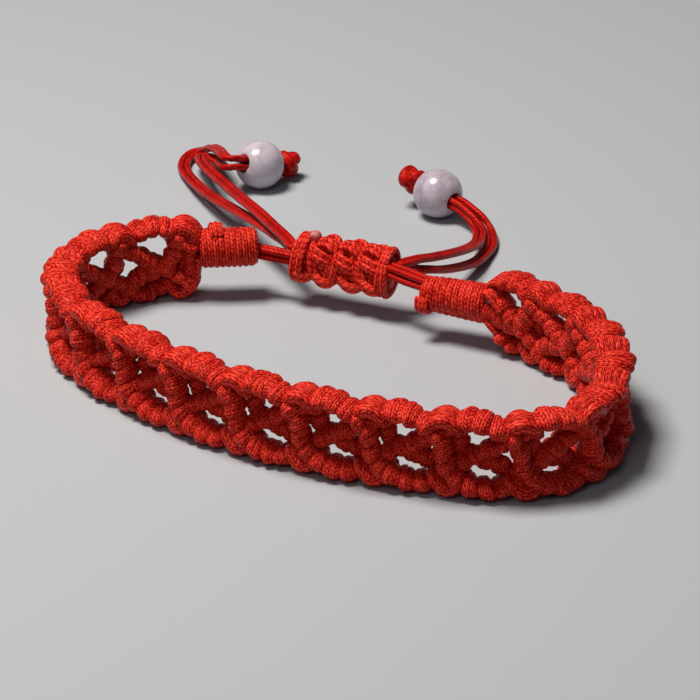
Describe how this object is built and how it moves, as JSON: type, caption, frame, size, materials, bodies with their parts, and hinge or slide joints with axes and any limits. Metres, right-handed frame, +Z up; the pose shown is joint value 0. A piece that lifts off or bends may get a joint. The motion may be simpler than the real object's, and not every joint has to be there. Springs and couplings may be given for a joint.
{
  "type": "adjustable knotted string bracelet",
  "caption": "Openwork knotted cord bracelet with wound ends, a sliding knot that sets its size and a bead on each free tail.",
  "frame": {"origin": "on the surface that the bracelet stands on, under the middle of the wrist loop with its closure", "axes": "+Z up, +X along the loop's longest way, +Y from the front of the band to the closure"},
  "size_m": [0.0816, 0.0758, 0.01],
  "materials": {
    "band_cord": "braided polyester cord, slight sheen",
    "binding_thread": "tightly wound thread, slight sheen",
    "waxed_cord": "waxed braided cord, soft sheen",
    "bead_stone": "milky translucent stone, satin polish"
  },
  "bodies": {
    "root": {"knotted_band": "band_cord", "left_binding": "binding_thread", "right_binding": "binding_thread", "left_link_cords": "waxed_cord", "right_link_cords": "waxed_cord", "sliding_knot": "band_cord", "left_tail_upper": "waxed_cord", "left_tail_lower": "waxed_cord", "right_tail_upper": "waxed_cord", "right_tail_lower": "waxed_cord", "left_bead": "bead_stone", "right_bead": "bead_stone", "left_stop_knot": "waxed_cord", "right_stop_knot": "waxed_cord"}
  },
  "joints": []
}
